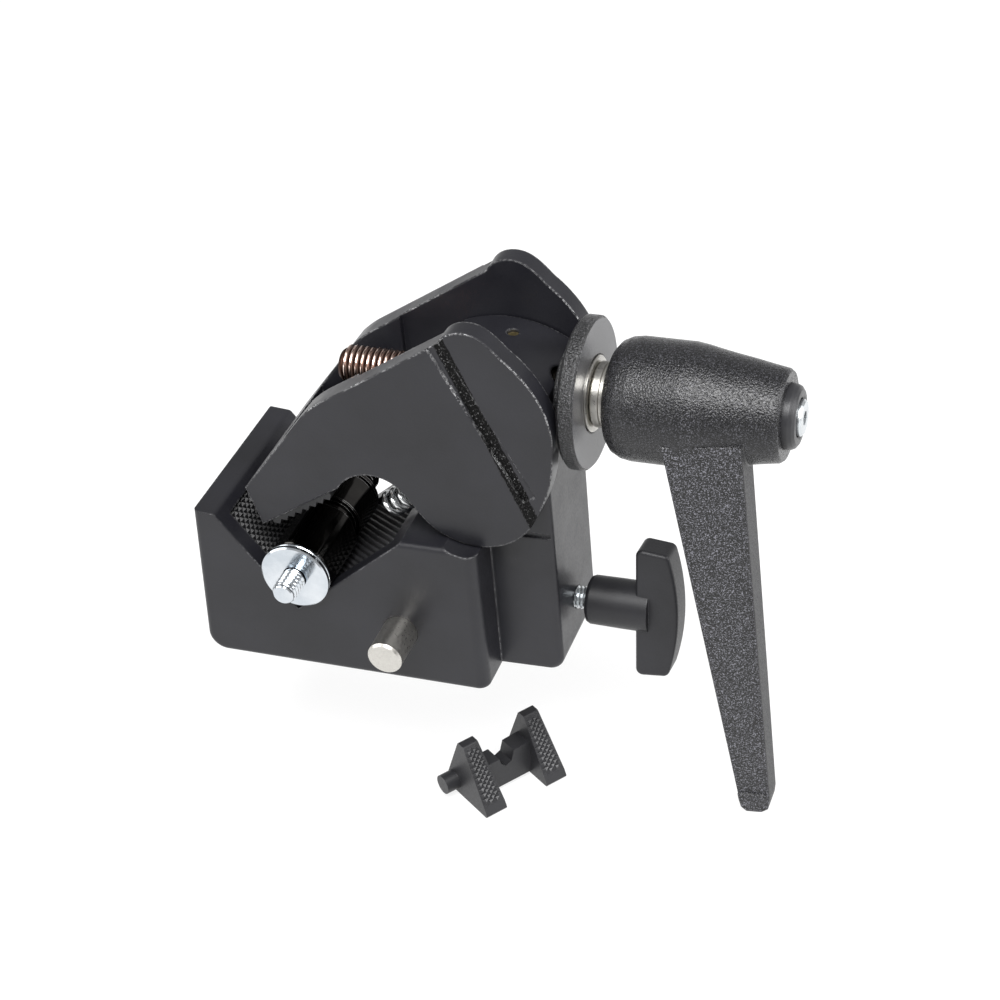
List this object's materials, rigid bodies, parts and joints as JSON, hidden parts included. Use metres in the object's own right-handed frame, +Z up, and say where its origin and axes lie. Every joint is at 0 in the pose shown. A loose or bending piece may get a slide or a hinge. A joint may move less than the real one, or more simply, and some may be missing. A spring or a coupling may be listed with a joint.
{
  "type": "super clamp",
  "caption": "Cast studio clamp: a V-shaped fixed jaw, a rocking jaw driven by a screw and lever, a stand socket with a locking knob and a sprung pin, a hexagonal stud and a loose wedge.",
  "frame": {"origin": "on the axis of the hexagonal stand socket, on the flat underside of the body", "axes": "+X along the clamping screw towards the handle, +Y across the body away from the side the lock pin and stud point to, +Z up from the underside"},
  "size_m": [0.1531, 0.0616, 0.1472],
  "materials": {
    "body_paint": "satin black paint on an aluminium casting",
    "jaw_paint": "satin black paint on an aluminium casting",
    "pad_plastic": "black, moulded with small pyramids",
    "spring_steel": "bright wire",
    "brass": "dull",
    "plain_steel": "machined",
    "flange_paint": "grained black rim, smoother face",
    "coppered_screw": "coppery, oiled thread",
    "nickel": "satin nickel plate",
    "zinc": "bright zinc plate",
    "lever_paint": "coarse grained black paint on an aluminium casting",
    "knob_plastic": "fine texture",
    "cap_plastic": "smooth dark grey",
    "chrome": "polished",
    "wedge_plastic": "black, knurled slopes"
  },
  "bodies": {
    "body": {"body_casting": "body_paint", "fixed_jaw_pad_left": "pad_plastic", "fixed_jaw_pad_right": "pad_plastic", "screw_nut": "plain_steel", "nut_lock_pin": "brass", "opening_spring": "spring_steel", "lock_pin_plug": "body_paint", "lock_pin_spring": "spring_steel"},
    "jaw": {"movable_jaw": "jaw_paint", "movable_jaw_pad": "pad_plastic"},
    "carriage": {"thrust_flange": "flange_paint", "thrust_washer": "nickel"},
    "screw": {"main_screw": "coppered_screw", "screw_collar": "nickel", "index_gear": "plain_steel", "spring_washer": "zinc", "handle_end_screw": "zinc", "handle_spring": "spring_steel"},
    "handle": {"handle_lever": "lever_paint", "handle_insert": "plain_steel", "handle_end_cap": "cap_plastic"},
    "pin": {"lock_pin": "nickel", "lock_pin_clip": "spring_steel"},
    "knob_rod": {"knob_screw": "zinc"},
    "knob": {"t_knob": "knob_plastic"},
    "spigot": {"stud": "chrome", "stud_washer": "chrome"},
    "wedge": {"wedge_insert": "wedge_plastic"}
  },
  "joints": [
    {"name": "screw_travel", "type": "slide", "parent": "body", "child": "carriage", "axis": [1, 0, 0], "range_m": [-0.0009, 0.0136]},
    {"name": "handle_spin", "type": "hinge", "parent": "carriage", "child": "screw", "pos_m": [0.04, 0, 0.077], "axis": [1, 0, 0], "range_deg": [-210, 3255]},
    {"name": "jaw_swing", "type": "hinge", "parent": "body", "child": "jaw", "pos_m": [0.0105, 0, 0.059], "axis": [0, 1, 0], "range_deg": [-3.2, 48.7]},
    {"name": "lever_lift", "type": "slide", "parent": "screw", "child": "handle", "axis": [1, 0, 0], "range_m": [0, 0.0055], "stiffness_N_per_m": 800, "springref_m": -0.006, "deforming": ["handle_spring"]},
    {"name": "lock_pin_press", "type": "slide", "parent": "body", "child": "pin", "axis": [0, 1, 0], "range_m": [0, 0.008], "stiffness_N_per_m": 400, "springref_m": -0.006, "deforming": ["lock_pin_spring"]},
    {"name": "knob_travel", "type": "slide", "parent": "body", "child": "knob_rod", "axis": [1, 0, 0], "range_m": [-0.0026, 0.0021]},
    {"name": "knob_spin", "type": "hinge", "parent": "knob_rod", "child": "knob", "pos_m": [0.044, 0, 0.0145], "axis": [1, 0, 0], "range_deg": [-900, 720]},
    {"name": "stud_slide", "type": "slide", "parent": "body", "child": "spigot", "axis": [0, -1, 0], "range_m": [0, 0.05]},
    {"name": "wedge_slide", "type": "slide", "parent": "body", "child": "wedge", "axis": [0, -1, 0], "range_m": [0, 0.04]}
  ],
  "couplings": [
    {"joint": "screw_travel", "follows": "handle_spin", "m_per_rad": 0.00023873},
    {"joint": "jaw_swing", "follows": "handle_spin", "ratio": 0.014921},
    {"joint": "knob_travel", "follows": "knob_spin", "m_per_rad": 0.00015915}
  ]
}
